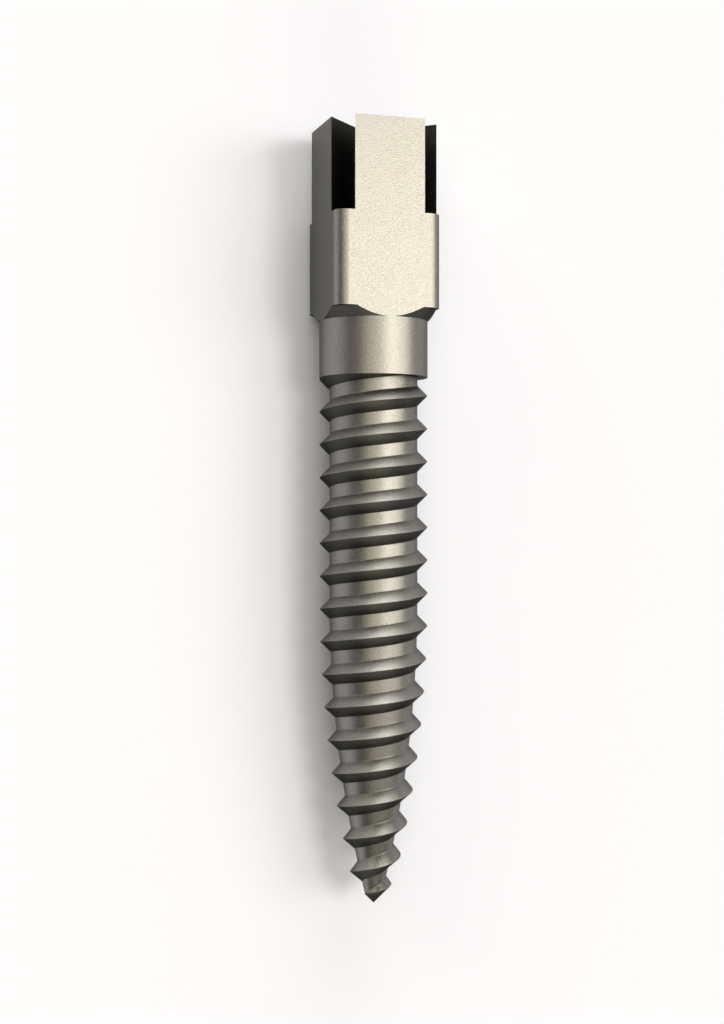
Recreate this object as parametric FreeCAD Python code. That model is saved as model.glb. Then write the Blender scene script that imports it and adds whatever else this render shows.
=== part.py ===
import FreeCAD, Part
import math
import os

# Dental screw post: one turned piece, in millimetres.
# A tapered shank with a sharp right-hand thread ends under a plain collar, and a square head with two
# crossed slots stands on a short 45 degree cone. The post is built upright, with its tip at the origin
# and its axis along Z, and then laid on one flat of its head.

# Shank
BODY_DIAMETER = 1.65          # over the thread crests and the collar
THREADED_LENGTH = 8.0         # tip to the underside of the collar
TAPER_LENGTH = 4.6            # tip to where the shank becomes a plain cylinder
TIP_DIAMETER = 0.5            # over the thread, where the taper's arc would reach the tip
TIP_HALF_ANGLE = 45.0         # degrees between the axis and the cone that ends the tip

# Thread
PITCH = 0.5
THREAD_DEPTH = 0.155
FLANK_ANGLE = 45.0            # degrees between a flank and a plane across the axis

# Collar and head
COLLAR_HEIGHT = 0.85
CONE_FLARE = 0.15             # how far the cone under the head stands out beyond the collar
HEAD_HEIGHT = 2.8             # underside of the head to its end
HEAD_CORNER_RADIUS = 0.2
SLOT_WIDTH = 0.4
SLOT_DEPTH = 1.4

# How the shapes are made
POINTS_PER_TURN = 12          # spans of the curve for one turn of a helical edge
RIDGE_SINK = 0.04             # how far the foot of the thread's ridge lies inside the core
TOOL_MARGIN = 0.3             # how far a shape that trims the post stands out beyond it

# Sizes that follow from those above
body_radius = BODY_DIAMETER / 2
collar_top = THREADED_LENGTH + COLLAR_HEIGHT
shoulder_height = collar_top + CONE_FLARE
head_top = shoulder_height + HEAD_HEIGHT
head_half = body_radius       # the flats are milled flush with the collar, so that the post lies level
corner_reach = head_half * math.sqrt(2) + TOOL_MARGIN

# The taper is one arc, tangent to the cylinder at its upper end
taper_drop = (BODY_DIAMETER - TIP_DIAMETER) / 2
taper_radius = (TAPER_LENGTH ** 2 + taper_drop ** 2) / (2 * taper_drop)


def crest_radius(height):
    """Radius over the thread's crest at a height above the tip, the cone of the tip left out."""
    below = TAPER_LENGTH - min(max(height, 0.0), TAPER_LENGTH)
    return body_radius - taper_radius + math.sqrt(taper_radius ** 2 - below ** 2)


def root_radius(height):
    """Radius of the core between the turns of the thread."""
    return crest_radius(height) - THREAD_DEPTH


def line(*points):
    """Straight edges through (radius, height) points in the plane of a half section."""
    places = [FreeCAD.Vector(radius, 0, height) for radius, height in points]
    return [Part.LineSegment(a, b).toShape() for a, b in zip(places, places[1:])]


def revolved(edges):
    """Solid of revolution about Z from the edges of a half section."""
    section = Part.Face(Part.Wire(edges))
    return section.revolve(FreeCAD.Vector(0, 0, 0), FreeCAD.Vector(0, 0, 1), 360)


def core():
    """The shank inside its thread, a pitch longer than needed at each end."""
    low = -PITCH
    high = THREADED_LENGTH + PITCH
    arc_heights = (0, TAPER_LENGTH / 2, TAPER_LENGTH)
    taper = Part.Arc(*[FreeCAD.Vector(root_radius(height), 0, height) for height in arc_heights])
    lower = line((0, low), (root_radius(low), low), (root_radius(0), 0))
    upper = line((root_radius(TAPER_LENGTH), TAPER_LENGTH), (root_radius(high), high), (0, high), (0, low))
    return revolved(lower + [taper.toShape()] + upper)


def helix_point(radial, axial, middle):
    """Point of a right-hand helix, which keeps its radial distance from the tapering crest.

    The middle is the height of the thread's crest there, and axial is how far the point lies above it.
    """
    angle = 2 * math.pi * (middle / PITCH - 0.5)
    height = middle + axial
    radius = crest_radius(height) + radial
    return FreeCAD.Vector(radius * math.cos(angle), radius * math.sin(angle), height)


def helix_turn(radial, axial, start):
    """One turn of that helix as a curve, which runs on into the next turn without a kink."""
    step = PITCH / POINTS_PER_TURN
    reach = step / 100
    points = [helix_point(radial, axial, start + step * index) for index in range(POINTS_PER_TURN + 1)]
    tangents = []
    for middle in (start, start + PITCH):
        ahead = helix_point(radial, axial, middle + reach)
        behind = helix_point(radial, axial, middle - reach)
        tangents.append((ahead - behind) * (step / (2 * reach)))
    curve = Part.BSplineCurve()
    curve.interpolate(
        Points=points, Parameters=[float(index) for index in range(POINTS_PER_TURN + 1)],
        InitialTangent=tangents[0], FinalTangent=tangents[1], Scale=False)
    return curve


def end_face(curves, at_start):
    """Flat face that closes the ridge at one of its ends."""
    corners = [c.value(c.FirstParameter if at_start else c.LastParameter) for c in curves]
    return Part.Face(Part.makePolygon(corners + corners[:1]))


def thread_ridge():
    """The thread as a helical ridge of triangular section with its foot sunk in the core.

    Its crest crosses the +X side of the post half a pitch above the tip and then once a pitch. Each
    turn has its own faces, ruled between the helices of the section's three corners.
    """
    foot_depth = THREAD_DEPTH + RIDGE_SINK
    foot_half = foot_depth * math.tan(math.radians(FLANK_ANGLE))
    section = [(-foot_depth, -foot_half), (0, 0), (-foot_depth, foot_half)]
    turns = math.ceil(THREADED_LENGTH / PITCH) + 2
    faces = []
    for turn in range(turns):
        start = (turn - 1) * PITCH
        curves = [helix_turn(radial, axial, start) for radial, axial in section]
        edges = [curve.toShape() for curve in curves]
        faces += [Part.makeRuledSurface(a, b, 1) for a, b in zip(edges, edges[1:] + edges[:1])]
        if turn == 0:
            faces.append(end_face(curves, True))
        if turn == turns - 1:
            faces.append(end_face(curves, False))
    skin = Part.makeCompound(faces)
    skin.sewShape(1e-5)
    return Part.Solid(skin.Shells[0])


def threaded_shank():
    """Core and thread, cut by the cone of the tip and by the plane under the collar."""
    cone_height = corner_reach / math.tan(math.radians(TIP_HALF_ANGLE))
    room = revolved(line(
        (0, 0), (corner_reach, cone_height), (corner_reach, cone_height + THREADED_LENGTH),
        (0, cone_height + THREADED_LENGTH), (0, 0)))
    under_collar = Part.makeCylinder(corner_reach, THREADED_LENGTH)
    return core().fuse(thread_ridge()).common(room.common(under_collar))


def square_bar():
    """Square bar with rounded long edges, from the collar to the end of the head."""
    side = 2 * head_half
    bar = Part.makeBox(side, side, head_top - collar_top, FreeCAD.Vector(-head_half, -head_half, collar_top))
    long_edges = [edge for edge in bar.Edges if abs(edge.tangentAt(edge.FirstParameter).z) > 0.5]
    return bar.makeFillet(HEAD_CORNER_RADIUS, long_edges)


def head():
    """Square head on its cone, with two slots that cross from corner to corner."""
    turned = revolved(line(
        (0, collar_top), (body_radius, collar_top), (body_radius + CONE_FLARE, shoulder_height),
        (corner_reach, shoulder_height), (corner_reach, head_top), (0, head_top), (0, collar_top)))
    solid = square_bar().common(turned)
    for angle in (45, 135):
        slot = Part.makeBox(
            2 * corner_reach, SLOT_WIDTH, SLOT_DEPTH + TOOL_MARGIN,
            FreeCAD.Vector(-corner_reach, -SLOT_WIDTH / 2, head_top - SLOT_DEPTH))
        slot.rotate(FreeCAD.Vector(0, 0, 0), FreeCAD.Vector(0, 0, 1), angle)
        solid = solid.cut(slot)
    return solid


def lay_down(solid):
    """Turn the post's axis along Y with a flat up, and centre it over the origin."""
    lying = solid.copy()
    lying.rotate(FreeCAD.Vector(0, 0, 0), FreeCAD.Vector(1, 0, 0), -90)
    lying.translate(FreeCAD.Vector(0, -head_top / 2, head_half))
    return lying


collar = Part.makeCylinder(body_radius, COLLAR_HEIGHT, FreeCAD.Vector(0, 0, THREADED_LENGTH))
post = threaded_shank().fuse([collar, head()]).removeSplitter()
screw_post = lay_down(post.Solids[0])

os.makedirs("parts", exist_ok=True)
screw_post.exportStep("parts/screw_post.step")

box = screw_post.optimalBoundingBox(True, False)
print("solids", len(post.Solids), "valid", screw_post.isValid(), "faces", len(screw_post.Faces))
print("volume in cubic mm", round(screw_post.Volume, 3), "centre", screw_post.CenterOfMass)
print("size", round(box.XLength, 4), round(box.YLength, 4), round(box.ZLength, 4))
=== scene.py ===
# %% [markdown]
# A dental screw post is a pin about as long as a fingernail is wide. A dentist screws it into the root of a
# tooth, and its square head then holds the new crown. This one is turned from titanium and blasted with fine
# grit, so it has no mirror anywhere: light spreads over it in broad, soft bands. This lesson builds it in
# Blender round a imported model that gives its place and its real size.

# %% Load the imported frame
import bmesh
import bpy
import math
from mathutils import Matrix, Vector


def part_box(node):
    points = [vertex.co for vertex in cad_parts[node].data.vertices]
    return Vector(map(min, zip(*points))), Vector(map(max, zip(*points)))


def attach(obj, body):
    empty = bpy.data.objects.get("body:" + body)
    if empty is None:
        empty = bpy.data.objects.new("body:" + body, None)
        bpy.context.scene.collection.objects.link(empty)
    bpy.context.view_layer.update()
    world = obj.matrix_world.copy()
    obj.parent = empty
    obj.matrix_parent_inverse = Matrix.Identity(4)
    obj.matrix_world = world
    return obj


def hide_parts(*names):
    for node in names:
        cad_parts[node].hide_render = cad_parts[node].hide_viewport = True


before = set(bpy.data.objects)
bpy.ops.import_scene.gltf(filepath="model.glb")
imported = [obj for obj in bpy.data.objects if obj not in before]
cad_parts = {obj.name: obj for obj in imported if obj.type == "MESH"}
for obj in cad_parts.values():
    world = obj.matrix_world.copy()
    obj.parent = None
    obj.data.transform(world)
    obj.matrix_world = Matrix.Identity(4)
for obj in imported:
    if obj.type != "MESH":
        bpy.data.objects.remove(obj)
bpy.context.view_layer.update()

post_low, post_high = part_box("screw_post")
print("the post lies from", post_low, "to", post_high)

# %% [markdown]
# The post is only twelve millimetres long, and Blender's merge distances are made for things the size of a
# room. So it is modelled upright with one unit to a millimetre, and made a thousand times smaller when it is
# laid down. Every size that a turner would read off a drawing has a name here. The overall sizes come from
# the frame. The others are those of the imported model, which were measured in the photograph.

# %% Sizes in millimetres
MM = 0.001
post_size = (post_high - post_low) / MM
HEAD_TOP = post_size.y              # the point stands at height 0
BODY_RADIUS = post_size.z / 2       # collar, thread crests and half the width of the square head
THREADED_LENGTH = 8.0
TAPER_LENGTH = 4.6
TIP_RADIUS = 0.25                   # where the arc of the taper would reach the point's height
PITCH = 0.5
THREAD_DEPTH = 0.155
COLLAR_HEIGHT = 0.85
CONE_FLARE = 0.15
CORNER_RADIUS = 0.2
SLOT_WIDTH = 0.4
SLOT_DEPTH = 1.4
COLLAR_TOP = THREADED_LENGTH + COLLAR_HEIGHT
SHOULDER_RADIUS = BODY_RADIUS + CONE_FLARE
SHOULDER_HEIGHT = COLLAR_TOP + CONE_FLARE
SLOT_FLOOR = HEAD_TOP - SLOT_DEPTH
print("upright post:", round(HEAD_TOP, 3), "mm high,", round(2 * BODY_RADIUS, 3), "mm thick")

# %% [markdown]
# A post like this can't stand, so it lies on one flat of its head, and the camera looks down on it from
# almost straight above. The camera leans to one side by the angle that the head is turned in the photograph,
# and sits close, as a macro lens does, which gives the photograph's perspective.

# %% Camera
HEAD_TURN = math.radians(17.25)
CAMERA_DISTANCE = 24.4 * MM
CAMERA_LENS = 56.25
AIM_SIDEWAYS = -0.1745 * MM         # the post stands a little right of the picture's middle
AIM_ALONG = 0.055 * MM
CLIP_NEAR, CLIP_FAR = 0.001, 10     # metres

to_camera = Vector((-math.sin(HEAD_TURN), 0, math.cos(HEAD_TURN)))
to_right = Vector((math.cos(HEAD_TURN), 0, math.sin(HEAD_TURN)))
aim = Vector((0, AIM_ALONG, BODY_RADIUS * MM))

bpy.ops.object.camera_add(
    location=aim + CAMERA_DISTANCE * to_camera + AIM_SIDEWAYS * to_right,
    rotation=(0, -HEAD_TURN, 0))
camera = bpy.context.object
camera.data.lens = CAMERA_LENS
camera.data.clip_start = CLIP_NEAR
camera.data.clip_end = CLIP_FAR
bpy.context.scene.camera = camera
bpy.context.scene.view_settings.view_transform = 'Standard'
print("camera at", tuple(round(value / MM, 2) for value in camera.location), "mm")

# %% [markdown]
# The metal shows its lights as bands, so the lights are chosen as a photographer would choose them for a small
# shiny thing. A sun lamp with a wide angle works like a round softbox far away: it lights the floor evenly as
# far as the eye can see. A sun lamp asks for the light that arrives, which grows with the size of the softbox,
# so its strength is worked out here from how bright the softbox itself should look.

# %% A softbox
def softbox(name, right, ahead, half_angle, brightness, colour):
    """A sun lamp that stands in for a round softbox, with all its angles in degrees.

    It leans to the right of straight up, and from there towards the end of the head.
    """
    across, along, half = math.radians(right), math.radians(ahead), math.radians(half_angle)
    to_lamp = Vector((math.sin(across) * math.cos(along), math.sin(along), math.cos(across) * math.cos(along)))
    bpy.ops.object.light_add(type='SUN', rotation=to_lamp.to_track_quat('Z', 'Y').to_euler())
    lamp = bpy.context.object
    lamp.name = name
    lamp.data.angle = 2 * half
    lamp.data.energy = brightness * 2 * math.pi * (1 - math.cos(half))
    lamp.data.color = colour
    print(name, "gives", round(lamp.data.energy, 2), "W/m2 from", tuple(round(value, 2) for value in to_lamp))


# %% [markdown]
# Two warm softboxes over the right side draw the bright band along the post, and a weak amber one on the left
# lets it fade out in brown. Three more stand behind the head and graze along the post. They reach the flanks
# that face the head and miss those that face the point, and that is what makes each turn of the thread stand
# out. One low in front puts a faint glow on those dark flanks.

# %% Softboxes
WARM = (1.0, 0.955, 0.82)
AMBER = (1.0, 0.93, 0.74)
PALE = (1.0, 0.97, 0.89)

softbox("key_upper", 20, 6, 12, 10.4, WARM)
softbox("key_lower", 48, 5, 15, 5.0, WARM)
softbox("near_left", -14, 5, 24, 1.9, AMBER)
softbox("behind_low", 2, 80, 16, 5.2, PALE)
softbox("behind_right", 30, 66, 18, 2.4, PALE)
softbox("behind_left", -60, 45, 14, 2.8, AMBER)
softbox("before_low", 20, -72, 16, 2.8, AMBER)

# %% [markdown]
# The rest of the room is dark and a little brown, so that what turns away from the softboxes goes dark too.
# Only a band at the horizon is white. It stands for the far part of the floor, so that no more than a faint
# line shows where the floor ends when the camera looks along it.

# %% Room
ROOM_COLOUR = (0.106, 0.099, 0.084, 1)
HORIZON_COLOUR = (0.95, 0.95, 0.95, 1)
HORIZON_START = 0.03                # height of a direction, from 0 at the horizon to 1 straight up
HORIZON_HEIGHT = 0.18

world = bpy.data.worlds.new("studio")
bpy.context.scene.world = world
world.use_nodes = True
room = world.node_tree.nodes
direction = room.new('ShaderNodeTexCoord')
split = room.new('ShaderNodeSeparateXYZ')
fade = room.new('ShaderNodeMapRange')
fade.inputs['From Min'].default_value = HORIZON_START
fade.inputs['From Max'].default_value = HORIZON_HEIGHT
horizon = room.new('ShaderNodeMix')
horizon.data_type = 'RGBA'
horizon.inputs['A'].default_value = HORIZON_COLOUR
horizon.inputs['B'].default_value = ROOM_COLOUR
world.node_tree.links.new(direction.outputs['Generated'], split.inputs['Vector'])
world.node_tree.links.new(split.outputs['Z'], fade.inputs['Value'])
world.node_tree.links.new(fade.outputs['Result'], horizon.inputs['Factor'])
world.node_tree.links.new(horizon.outputs['Result'], room['Background'].inputs['Color'])
print("room lit from", ROOM_COLOUR[:3], "above to", HORIZON_COLOUR[:3], "at the horizon")

# %% [markdown]
# The floor is one large sheet of matt card. Its white is slightly cool, so that it looks neutral under the
# warm softboxes, and it keeps the post's soft shadow.

# %% Floor
FLOOR_SIZE = 8.0
FLOOR_COLOUR = (0.735, 0.762, 0.893, 1)
CARD_ROUGHNESS = 0.9
CARD_SHINE = 0.1

bpy.ops.object.select_all(action='DESELECT')
bpy.ops.mesh.primitive_plane_add(size=FLOOR_SIZE, location=(0, 0, 0))
floor = bpy.context.object
floor.name = "floor"
card = bpy.data.materials.new("white_card")
card.use_nodes = True
card_shader = card.node_tree.nodes['Principled BSDF']
card_shader.inputs['Base Color'].default_value = FLOOR_COLOUR
card_shader.inputs['Roughness'].default_value = CARD_ROUGHNESS
card_shader.inputs['Specular IOR Level'].default_value = CARD_SHINE
floor.data.materials.append(card)
print("floor of", FLOOR_SIZE, "m")

# %% [markdown]
# Turned parts start as a half section, which is drawn as by hand: one point is extruded from place to place.
# A turned body then spins the section about the axis, and the thread screws it upwards. Both need the mesh in
# edit mode, so the helper leaves it there. A second helper selects what an operator should work on, by its
# place or by the way it faces.

# %% Draw a section
def draw_section(name, points):
    """Draws a chain through (radius, height) points and leaves it in edit mode, its last point selected."""
    bpy.ops.object.select_all(action='DESELECT')
    bpy.ops.mesh.primitive_plane_add(size=1, location=(0, 0, 0))
    section = bpy.context.object
    section.name = name
    bpy.ops.object.mode_set(mode='EDIT')
    bpy.ops.mesh.merge(type='CENTER')       # the plane becomes the first point
    place = Vector((points[0][0], 0, points[0][1]))
    bpy.ops.transform.translate(value=place)
    for radius, height in points[1:]:
        following = Vector((radius, 0, height))
        bpy.ops.mesh.extrude_vertices_move(TRANSFORM_OT_translate={"value": following - place})
        place = following
    return section


def pick(kind, test):
    """Selects the vertices, edges or faces that pass a test, in edit mode, and returns how many."""
    bpy.ops.mesh.select_mode(type=kind)
    bpy.ops.mesh.select_all(action='DESELECT')
    mesh = bmesh.from_edit_mesh(bpy.context.object.data)
    items = {'VERT': mesh.verts, 'EDGE': mesh.edges, 'FACE': mesh.faces}[kind]
    chosen = [item for item in items if test(item)]
    for item in chosen:
        item.select_set(True)
    bmesh.update_edit_mesh(bpy.context.object.data)
    return len(chosen)


# %% [markdown]
# The thread is a sharp ridge that winds round the shank, with a plain strip of shank between its turns. Cut
# metal is never quite sharp: the crest has a tiny rounding, and so has the corner where a flank meets the
# strip. They are only about a hundredth of a millimetre wide, but they catch the light as a fine line, so they
# are bevelled into the outline before it is screwed.

# %% Outline of one turn
FIRST_TURN = -1.0                   # the screw starts below the point and is cut off there later
CREST_ROUNDING, CREST_STEPS = 0.008, 4
ROOT_ROUNDING, ROOT_STEPS = 0.006, 3
CLOSE = 1e-4                        # places nearer than this are the same
root_radius = BODY_RADIUS - THREAD_DEPTH
ridge_half = THREAD_DEPTH           # because the flanks stand at 45 degrees
crest_height = FIRST_TURN + PITCH / 2

post = draw_section("screw_post_titanium", [
    (root_radius, FIRST_TURN),
    (root_radius, crest_height - ridge_half),
    (BODY_RADIUS, crest_height),
    (root_radius, crest_height + ridge_half),
    (root_radius, FIRST_TURN + PITCH)])
pick('VERT', lambda vertex: abs(vertex.co.x - BODY_RADIUS) < CLOSE)
bpy.ops.mesh.bevel(offset=CREST_ROUNDING, segments=CREST_STEPS, affect='VERTICES')
pick('VERT', lambda vertex: abs(abs(vertex.co.z - crest_height) - ridge_half) < CLOSE)
bpy.ops.mesh.bevel(offset=ROOT_ROUNDING, segments=ROOT_STEPS, affect='VERTICES')
bpy.ops.object.mode_set(mode='OBJECT')
print("one turn's outline has", len(post.data.vertices), "points")

# %% [markdown]
# A Screw modifier sweeps the outline round the axis and lifts it by one pitch a turn. Its turns fit end to end,
# because the outline is exactly one pitch high. With 96 steps a turn the helix is round to a thousandth of a
# millimetre.

# %% Screw the thread
STEPS_PER_TURN = 96
TURNS = 20

screwing = post.modifiers.new("screwing", 'SCREW')
screwing.axis = 'Z'
screwing.angle = math.tau
screwing.screw_offset = PITCH
screwing.steps = STEPS_PER_TURN
screwing.render_steps = STEPS_PER_TURN
screwing.iterations = TURNS
bpy.ops.object.modifier_apply(modifier=screwing.name)
crests = sorted(
    round(vertex.co.z, 3) for vertex in post.data.vertices
    if abs(vertex.co.y) < CLOSE and vertex.co.x > BODY_RADIUS - CREST_ROUNDING / 2)
print("screwed:", len(post.data.polygons), "faces, lowest crests on +X at", crests[:3])

# %% [markdown]
# The turns leave seams and slanting ends. The seams are merged, and two level cuts with Bisect give the screw
# flat ends, which its fill closes. The mesh has to be closed before booleans can work on it. A Manifold boolean
# is quick and exact, but only with bodies that have an inside and an outside.

# %% Cut the ends square
MERGE = 1e-5
COLLAR_OVERLAP = 0.4                # how far the shank reaches up into the collar
SHANK_LOW = -0.3                    # below the point, which is cut later
SHANK_HIGH = THREADED_LENGTH + COLLAR_OVERLAP


def tidy():
    """Merges points that coincide and turns all faces outwards."""
    bpy.ops.mesh.select_mode(type='VERT')
    bpy.ops.mesh.select_all(action='SELECT')
    bpy.ops.mesh.remove_doubles(threshold=MERGE)
    bpy.ops.mesh.normals_make_consistent(inside=False)


bpy.ops.object.mode_set(mode='EDIT')
tidy()
for height, clear_low in ((SHANK_LOW, True), (SHANK_HIGH, False)):
    bpy.ops.mesh.select_all(action='SELECT')
    bpy.ops.mesh.bisect(
        plane_co=(0, 0, height), plane_no=(0, 0, 1), use_fill=True,
        clear_inner=clear_low, clear_outer=not clear_low, threshold=MERGE)
tidy()
bpy.ops.object.mode_set(mode='OBJECT')
print("shank from", SHANK_LOW, "to", SHANK_HIGH, "mm with", len(post.data.polygons), "faces")

# %% [markdown]
# The lower part of the shank tapers along one long arc, which starts level with the plain part. Simple Deform
# only tapers in a straight line, so here every point is moved towards the axis by a formula. All points at
# one height move by the same amount, so the thread keeps its full depth down to the point, as it does when
# the thread is cut on a tapered blank.

# %% Taper the shank
taper_drop = BODY_RADIUS - TIP_RADIUS
taper_radius = (TAPER_LENGTH ** 2 + taper_drop ** 2) / (2 * taper_drop)


def taper_inset(height):
    """How far the taper draws the surface in at a height above the point."""
    below = TAPER_LENGTH - min(max(height, 0), TAPER_LENGTH)
    return taper_radius - math.sqrt(taper_radius ** 2 - below ** 2)


for vertex in post.data.vertices:
    radius = vertex.co.xy.length
    if radius > 0:
        vertex.co.xy *= (radius - taper_inset(vertex.co.z)) / radius
print("the taper draws in", round(taper_inset(0), 3), "mm at the point")

# %% [markdown]
# What is left of the work is done as on a lathe and a mill, with bodies that meet the post in booleans. A
# turned body is a section that Spin carries round the axis. It is then turned by half a step, so that none of
# its corners lies on an axis where the milled faces will meet it.

# %% Turned bodies and booleans
ROUND_STEPS = 128


def turned(name, points):
    """A closed body of revolution from its half section."""
    body = draw_section(name, points)
    bpy.ops.mesh.select_all(action='SELECT')
    bpy.ops.mesh.spin(steps=ROUND_STEPS, angle=math.tau, center=(0, 0, 0), axis=(0, 0, 1))
    tidy()
    bpy.ops.mesh.select_all(action='SELECT')
    bpy.ops.transform.rotate(value=math.pi / ROUND_STEPS, orient_axis='Z', center_override=(0, 0, 0))
    bpy.ops.object.mode_set(mode='OBJECT')
    return body


def combine(body, tool, operation):
    """Applies a boolean with a tool body, which is used up."""
    bpy.ops.object.select_all(action='DESELECT')
    bpy.context.view_layer.objects.active = body
    body.select_set(True)
    step = body.modifiers.new(operation.lower(), 'BOOLEAN')
    step.operation = operation
    step.solver = 'MANIFOLD'
    step.object = tool
    bpy.ops.object.modifier_apply(modifier=step.name)
    bpy.data.objects.remove(tool)
    print(body.name, operation.lower(), "->", len(body.data.polygons), "faces")


# %% [markdown]
# The post ends in a plain point of 90 degrees, which cuts across the last turn of the thread. What lies inside
# a large cone stays, and the rest goes.

# %% Point the tip
POINT_REACH = 1.2                   # wider than the post, so that only the cone cuts
cutter_top = SHANK_HIGH + 0.1       # just above the shank

combine(post, turned("point_cutter", [
    (0, 0), (POINT_REACH, POINT_REACH), (POINT_REACH, cutter_top), (0, cutter_top)]), 'INTERSECT')

# %% [markdown]
# Above the thread come a plain collar, a short cone that flares out by 45 degrees, and the square head. The
# maker turns the collar and the cone first and then mills four flats. The flats are as wide as the collar, so
# they cut off the cone except at the corners. That gives each flat the curved lower edge that it has in the
# photograph, and no such curve has to be drawn.

# %% Turn the collar and the head's cone
CUTTER_REACH = 1.4
ABOVE = 0.2                         # how far a body stands out where another one cuts it

head = turned("head", [
    (0, THREADED_LENGTH), (BODY_RADIUS, THREADED_LENGTH), (BODY_RADIUS, COLLAR_TOP),
    (SHOULDER_RADIUS, SHOULDER_HEIGHT), (CUTTER_REACH, SHOULDER_HEIGHT), (CUTTER_REACH, HEAD_TOP + ABOVE),
    (0, HEAD_TOP + ABOVE)])
print("collar and cone turned:", len(head.data.polygons), "faces")

# %% Mill the square
CORNER_STEPS = 12
LONG_EDGE = 1                       # only the edges along the axis rise by more
bar_low = THREADED_LENGTH - ABOVE
bpy.ops.object.select_all(action='DESELECT')
bpy.ops.mesh.primitive_cube_add(size=2 * BODY_RADIUS, location=(0, 0, bar_low + BODY_RADIUS))
bar = bpy.context.object
bpy.ops.object.transform_apply(location=True)
bpy.ops.object.mode_set(mode='EDIT')
pick('FACE', lambda face: face.normal.z > 0.9)
bpy.ops.transform.translate(value=(0, 0, HEAD_TOP - bar_low - 2 * BODY_RADIUS))
corners = pick('EDGE', lambda edge: abs(edge.verts[0].co.z - edge.verts[1].co.z) > LONG_EDGE)
bpy.ops.mesh.bevel(offset=CORNER_RADIUS, segments=CORNER_STEPS)
bpy.ops.object.mode_set(mode='OBJECT')
print("long edges rounded:", corners)
combine(head, bar, 'INTERSECT')

# %% [markdown]
# Two slots cross the head from corner to corner, so that a small driver can turn the post. Each is one pass of
# a milling disc, here one long box. The two passes take the rounded corners away and leave four sharp prongs.

# %% Cut the slots
BLADE_HEIGHT = 2

for degrees in (45, 135):
    bpy.ops.object.select_all(action='DESELECT')
    bpy.ops.mesh.primitive_cube_add(
        size=1, location=(0, 0, SLOT_FLOOR + BLADE_HEIGHT / 2), rotation=(0, 0, math.radians(degrees)))
    blade = bpy.context.object
    blade.scale = (2 * CUTTER_REACH, SLOT_WIDTH, BLADE_HEIGHT)
    bpy.ops.object.transform_apply(location=True, rotation=True, scale=True)
    combine(head, blade, 'DIFFERENCE')

# %% [markdown]
# Grit wears every outer edge a little, and the worn edge shows as a thin light line. The booleans have cut flat
# faces into strips, which a limited dissolve joins again, so that Bevel finds whole edges. It rounds only
# convex edges of more than 40 degrees. The cone's edges stay as they are: they are blunt, and a bevel would
# spoil the curve where the flats meet it.

# %% Soften the head's edges
EDGE_ROUNDING, EDGE_STEPS = 0.008, 2
FLAT_ENOUGH = math.radians(0.2)
SHARP_ENOUGH = math.radians(40)


def is_cone(face):
    """Tells a face by the slant of the cone under the head, which some flanks of the thread have too."""
    return -0.9 < face.normal.z < -0.4


def is_outer_edge(edge):
    """A sharp convex edge that doesn't touch the cone under the head."""
    if len(edge.link_faces) != 2 or any(is_cone(face) for face in edge.link_faces):
        return False
    return edge.is_convex and edge.calc_face_angle() > SHARP_ENOUGH


bpy.ops.object.mode_set(mode='EDIT')
tidy()
bpy.ops.mesh.select_all(action='SELECT')
bpy.ops.mesh.dissolve_limited(angle_limit=FLAT_ENOUGH)
print("edges softened:", pick('EDGE', is_outer_edge))
bpy.ops.mesh.bevel(offset=EDGE_ROUNDING, segments=EDGE_STEPS, clamp_overlap=True)
bpy.ops.object.mode_set(mode='OBJECT')

# %% [markdown]
# The head and the shank overlap by a few tenths of a millimetre inside the collar. A union makes one closed
# body of them, as the real post is one piece of rod, and the thread ends square under the collar.

# %% Join the post
combine(post, head, 'UNION')

# %% [markdown]
# Shading decides how sharp a metal edge looks. A flank or a flat has to shade as one plane right up to its
# rounding, so the normals are weighted by area. Where the true surface is known, its own normals are set: flat
# faces keep theirs at every corner, and the round ones point away from the axis that they turn about. Without
# that, the highlight on the head would bend like the side of a barrel.

# %% True normals
UPRIGHT = 0.01                      # an upright face looks less than this up or down
NARROW_AREA = 0.1                   # square mm: the strips of a rounded corner are smaller
FLAT_AREA = 0.05                    # only whole flat faces of the head are larger
ON_CORNER = 0.003                   # how far the middle of a strip may be from the rounding


def corner_axis(middle):
    """The axis of the head's rounded corner that is nearest to a place."""
    inset = BODY_RADIUS - CORNER_RADIUS
    return Vector((math.copysign(inset, middle.x), math.copysign(inset, middle.y), middle.z))


def true_normal(face, place):
    """Normal of the turned or milled surface at a place, or None where the mesh's own normal is kept."""
    middle = face.center
    upright = abs(face.normal.z) < UPRIGHT
    if upright and THREADED_LENGTH < middle.z < COLLAR_TOP:
        return Vector((place.x, place.y, 0)).normalized()
    if is_cone(face) and COLLAR_TOP < middle.z < SHOULDER_HEIGHT + 0.01:
        return Vector((place.x, place.y, -place.xy.length)).normalized()
    if upright and middle.z > COLLAR_TOP and face.area < NARROW_AREA:
        axis = corner_axis(middle)
        arm = middle - axis
        if abs(arm.length - CORNER_RADIUS) < ON_CORNER and arm.dot(face.normal) > 0.95 * CORNER_RADIUS:
            return Vector((place.x - axis.x, place.y - axis.y, 0)).normalized()
    if middle.z > THREADED_LENGTH and face.area > FLAT_AREA:
        return face.normal.copy()
    return None


# %% Set the shading
SMOOTH_BELOW = math.radians(35)

bpy.ops.object.select_all(action='DESELECT')
post.select_set(True)
bpy.context.view_layer.objects.active = post
bpy.ops.object.shade_smooth_by_angle(angle=SMOOTH_BELOW)
weighting = post.modifiers.new("weighting", 'WEIGHTED_NORMAL')
weighting.keep_sharp = True
bpy.ops.object.modifier_apply(modifier=weighting.name)

normals = [corner.vector.copy() for corner in post.data.corner_normals]
changed = 0
for face in post.data.polygons:
    for corner in face.loop_indices:
        place = post.data.vertices[post.data.loops[corner].vertex_index].co
        known = true_normal(face, place)
        if known is not None:
            normals[corner] = known
            changed += 1
post.data.normals_split_custom_set(normals)
print("normals set by hand:", changed, "of", len(normals))

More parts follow.
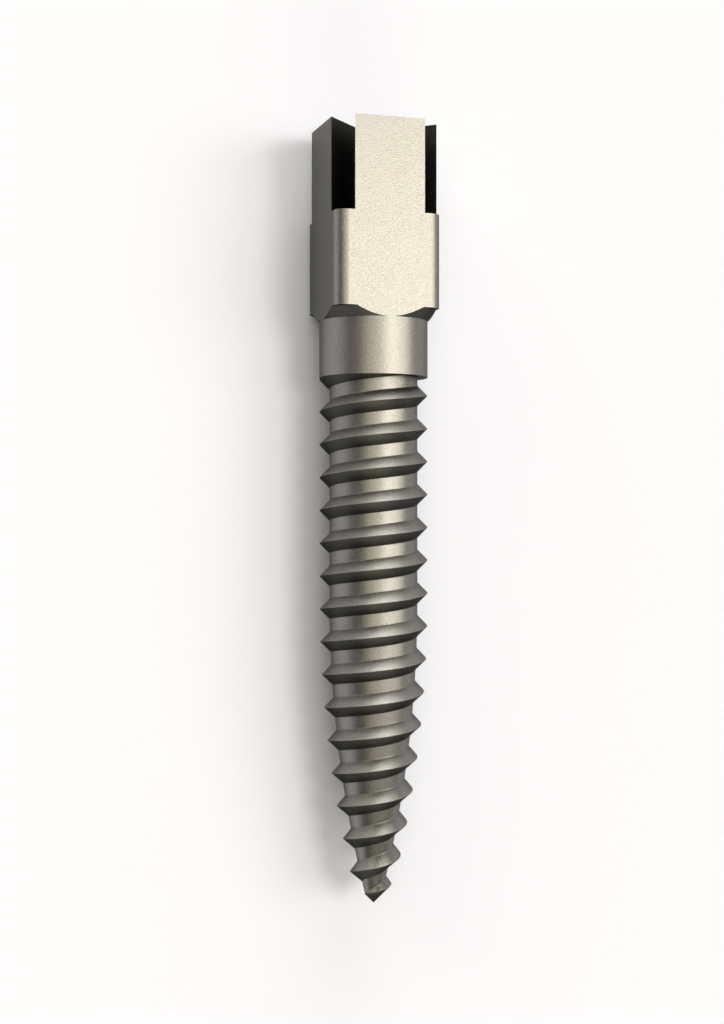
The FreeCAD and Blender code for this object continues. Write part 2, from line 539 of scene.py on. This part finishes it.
# %% [markdown]
# Now the post is tipped over onto one flat, made real size and moved to the frame's place. Applying the
# transform puts all of that into the mesh, so that the object itself sits at the origin. Then the mesh is
# checked: a closed one has two faces at every edge.

# %% Lay the post down
post.rotation_euler = (-math.pi / 2, 0, 0)
post.scale = (MM, MM, MM)
post.location = (0, -HEAD_TOP / 2 * MM, BODY_RADIUS * MM)
bpy.ops.object.transform_apply(location=True, rotation=True, scale=True)

mesh = bmesh.new()
mesh.from_mesh(post.data)
open_edges = sum(1 for edge in mesh.edges if len(edge.link_faces) != 2)
triangles = sum(len(face.verts) - 2 for face in mesh.faces)
print("closed:", open_edges == 0, "triangles:", triangles, "cubic mm:", round(mesh.calc_volume() / MM ** 3, 3))
mesh.free()

# %% [markdown]
# Materials are node trees, and three small steps come back in them again and again: a group with named
# sockets, a Map Range node from one pair of values to another, and a product. Each gets a helper, so that the
# trees below read like a list of what happens.

# %% Helpers for node trees
def new_group(name, inputs, outputs):
    """An empty node group with named sockets, given as (name, type, default) and (name, type)."""
    group = bpy.data.node_groups.new(name, 'ShaderNodeTree')
    for socket_name, kind, default in inputs:
        socket = group.interface.new_socket(socket_name, in_out='INPUT', socket_type=kind)
        if default is not None:
            socket.default_value = default
    for socket_name, kind in outputs:
        group.interface.new_socket(socket_name, in_out='OUTPUT', socket_type=kind)
    return group, group.nodes.new('NodeGroupInput'), group.nodes.new('NodeGroupOutput')


def spread(tree, value, low, high, to_low, to_high):
    """A Map Range node from one pair of values to another, and its result."""
    step = tree.nodes.new('ShaderNodeMapRange')
    step.inputs['From Min'].default_value = low
    step.inputs['From Max'].default_value = high
    step.inputs['To Min'].default_value = to_low
    step.inputs['To Max'].default_value = to_high
    tree.links.new(value, step.inputs['Value'])
    return step.outputs['Result']


def times(tree, first, second):
    """The product of two values."""
    product = tree.nodes.new('ShaderNodeMath')
    product.operation = 'MULTIPLY'
    tree.links.new(first, product.inputs[0])
    tree.links.new(second, product.inputs[1])
    return product.outputs['Value']


# %% [markdown]
# Grit blasting leaves thousands of tiny dents, each about two hundredths of a millimetre wide. They are too
# fine to see one by one, and show as a sparkle on the lit flat and as a rough, matt look everywhere else. A
# noise texture of that size gives both the dents, for the Bump node, and the small differences in tone. A
# second, much larger noise adds faint clouds. The group reads places in millimetres, so that its sizes can be
# written as on a drawing.

# %% Grain of the blasted metal
DARK_SPECK, LIGHT_SPECK = 0.8, 1.2
DARK_CLOUD, LIGHT_CLOUD = 0.985, 1.015

grain, grain_in, grain_out = new_group(
    "blast_grain",
    [("Place", 'NodeSocketVector', None), ("Dents per mm", 'NodeSocketFloat', 50.0),
     ("Clouds per mm", 'NodeSocketFloat', 3.0)],
    [("Height", 'NodeSocketFloat'), ("Tone", 'NodeSocketFloat')])
dents = grain.nodes.new('ShaderNodeTexNoise')
dents.inputs['Detail'].default_value = 1.5
dents.inputs['Roughness'].default_value = 0.6
clouds = grain.nodes.new('ShaderNodeTexNoise')
clouds.inputs['Detail'].default_value = 3
for texture, density in ((dents, 'Dents per mm'), (clouds, 'Clouds per mm')):
    grain.links.new(grain_in.outputs['Place'], texture.inputs['Vector'])
    grain.links.new(grain_in.outputs[density], texture.inputs['Scale'])
speckle = spread(grain, dents.outputs['Fac'], 0.3, 0.7, DARK_SPECK, LIGHT_SPECK)
mottle = spread(grain, clouds.outputs['Fac'], 0.3, 0.7, DARK_CLOUD, LIGHT_CLOUD)
grain.links.new(dents.outputs['Fac'], grain_out.inputs['Height'])
grain.links.new(times(grain, speckle, mottle), grain_out.inputs['Tone'])
print("the grain group has", len(grain.nodes), "nodes")

# %% [markdown]
# Here shade is painted into the titanium's colour as a darker grey, in three places. In the photograph the
# faces that look towards the point and the walls of the slots are much darker than the lights alone make them
# here, so these faces get painted shade, and its strength was chosen to match the photograph's tones. The
# photograph can't tell why, so what follows is a guess, and its strength was chosen to match the photograph's
# tones: the grit was blown on from the head's side, and hardly any got into the narrow slots. The bottom of
# each groove gets painted shade too, and an Ambient Occlusion node finds it on the post alone. The slots' walls
# are the only faces of the head's end that look to a side and up or down at once, so the product of those two
# parts of the normal picks them out. The second group makes one mask of painted shade from all this.

# %% Where shade is painted
POINT_SIDE_UNSHADED = 0.2              # how light the painted shade leaves the flanks that face the point
# how light the painted shade leaves the walls of the slots
SLOT_WALL_UNSHADED = 0.12
FULL_SHADE_FACING, NO_SHADE_FACING = -0.7, -0.2  # how far a face looks towards the head where its painted shade is darkest, and where there is none
CLOSED_IN, OPEN = 0.2, 0.8          # openness where the shade painted in hollows is darkest, and where there is none

shade_mask, shade_mask_in, shade_mask_out = new_group(
    "painted_shade_mask",
    [("Place", 'NodeSocketVector', None), ("Normal", 'NodeSocketVector', None),
     ("Openness", 'NodeSocketFloat', 1.0), ("Slot Floor", 'NodeSocketFloat', 0.0)],
    [("Unshaded", 'NodeSocketFloat')])
looks = shade_mask.nodes.new('ShaderNodeSeparateXYZ')
lies = shade_mask.nodes.new('ShaderNodeSeparateXYZ')
shade_mask.links.new(shade_mask_in.outputs['Normal'], looks.inputs['Vector'])
shade_mask.links.new(shade_mask_in.outputs['Place'], lies.inputs['Vector'])
# Faces that look towards the point get painted shade.
towards_point = spread(shade_mask, looks.outputs['Y'], FULL_SHADE_FACING, NO_SHADE_FACING, POINT_SIDE_UNSHADED, 1.0)
# Hollows that the Ambient Occlusion node finds get painted shade.
hollow = spread(shade_mask, shade_mask_in.outputs['Openness'], CLOSED_IN, OPEN, 0.0, 1.0)

# The slots' walls get painted shade.
slant = shade_mask.nodes.new('ShaderNodeMath')
slant.operation = 'ABSOLUTE'
shade_mask.links.new(times(shade_mask, looks.outputs['X'], looks.outputs['Z']), slant.inputs[0])
among_slots = shade_mask.nodes.new('ShaderNodeMath')
among_slots.operation = 'GREATER_THAN'
shade_mask.links.new(lies.outputs['Y'], among_slots.inputs[0])
shade_mask.links.new(shade_mask_in.outputs['Slot Floor'], among_slots.inputs[1])
slot_wall = times(shade_mask, spread(shade_mask, slant.outputs['Value'], 0.3, 0.45, 0, 1), among_slots.outputs['Value'])
into_slots = spread(shade_mask, slot_wall, 0, 1, 1.0, SLOT_WALL_UNSHADED)

# The product is 1 where nothing is painted and small where shade is painted.
shade_mask.links.new(times(shade_mask, times(shade_mask, towards_point, hollow), into_slots), shade_mask_out.inputs['Unshaded'])
print("the grit group has", len(shade_mask.nodes), "nodes")

# %% [markdown]
# The titanium itself is a rough metal of a warm, light grey. Its colour runs down to a dark grey, which is
# painted shade, on the faces towards the point, on the slots' walls and in the bottoms of the grooves, and the
# grain's tone goes over that. Seen at a low angle, blasted metal hides much of itself in its own dents, and the
# dark Specular Tint stands for that. Its value was chosen by the photograph's tones too.

# %% Colour of the titanium
BLASTED_COLOUR = (0.258, 0.253, 0.243, 1)
# a dark grey that is painted shade, not a colour of the titanium
PAINTED_SHADE_COLOUR = (0.035, 0.035, 0.034, 1)
EDGE_TINT = (0.3, 0.3, 0.3, 1)
OPEN_REACH = 0.6 * MM               # how far the Ambient Occlusion node looks
DENTS_PER_MM = 54
CLOUDS_PER_MM = 3

titanium = bpy.data.materials.new("blasted_titanium")
titanium.use_nodes = True
tree = titanium.node_tree
metal = tree.nodes['Principled BSDF']
metal.inputs['Metallic'].default_value = 1
metal.inputs['Specular Tint'].default_value = EDGE_TINT

coordinates = tree.nodes.new('ShaderNodeTexCoord')
millimetres = tree.nodes.new('ShaderNodeVectorMath')
millimetres.operation = 'SCALE'
millimetres.inputs['Scale'].default_value = 1 / MM
# The Ambient Occlusion node finds the hollows where shade is painted.
openness = tree.nodes.new('ShaderNodeAmbientOcclusion')
openness.only_local = True
openness.samples = 8
openness.inputs['Distance'].default_value = OPEN_REACH
grained = tree.nodes.new('ShaderNodeGroup')
grained.node_tree = grain
grained.inputs['Dents per mm'].default_value = DENTS_PER_MM
grained.inputs['Clouds per mm'].default_value = CLOUDS_PER_MM
# This group's mask tells where shade is painted.
shade_masking = tree.nodes.new('ShaderNodeGroup')
shade_masking.node_tree = shade_mask
shade_masking.inputs['Slot Floor'].default_value = SLOT_FLOOR - HEAD_TOP / 2

# The mix runs from painted shade to the titanium's own grey.
colour = tree.nodes.new('ShaderNodeMix')
colour.data_type = 'RGBA'
colour.inputs['A'].default_value = PAINTED_SHADE_COLOUR
colour.inputs['B'].default_value = BLASTED_COLOUR
toned = tree.nodes.new('ShaderNodeVectorMath')
toned.operation = 'SCALE'
for start, end in (
        (coordinates.outputs['Object'], millimetres.inputs[0]),
        (millimetres.outputs['Vector'], grained.inputs['Place']),
        (millimetres.outputs['Vector'], shade_masking.inputs['Place']),
        (coordinates.outputs['Normal'], shade_masking.inputs['Normal']),
        (openness.outputs['AO'], shade_masking.inputs['Openness']),
        (shade_masking.outputs['Unshaded'], colour.inputs['Factor']),
        (colour.outputs['Result'], toned.inputs[0]),
        (grained.outputs['Tone'], toned.inputs['Scale']),
        (toned.outputs['Vector'], metal.inputs['Base Color'])):
    tree.links.new(start, end)
print("colour made of", len(tree.nodes), "nodes")

# %% [markdown]
# The same grain gives the surface its feel. Light specks are a little rougher than dark ones, which evens them
# out where the light is strong and brings them out in the shade. The dents are only a few thousandths of a
# millimetre deep, too fine for the mesh, so the Bump node tilts the light instead.

# %% Roughness and dents of the titanium
FINE_ROUGHNESS, COARSE_ROUGHNESS = 0.36, 0.44
DENT_DEPTH = 0.0035 * MM

tree.links.new(
    spread(tree, grained.outputs['Tone'], DARK_SPECK, LIGHT_SPECK, FINE_ROUGHNESS, COARSE_ROUGHNESS),
    metal.inputs['Roughness'])
dented = tree.nodes.new('ShaderNodeBump')
dented.inputs['Distance'].default_value = DENT_DEPTH
dented.inputs['Strength'].default_value = 1
tree.links.new(grained.outputs['Height'], dented.inputs['Height'])
tree.links.new(dented.outputs['Normal'], metal.inputs['Normal'])

post.data.materials.clear()
post.data.materials.append(titanium)
print("titanium has", len(tree.nodes), "nodes")

# %% [markdown]
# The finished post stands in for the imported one, which stays hidden for collisions. It rides on the one body
# and takes its finish from the titanium slot.

# %% Hand over the post
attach(post, "root")
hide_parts("screw_post")
print(post.name, "replaces screw_post")
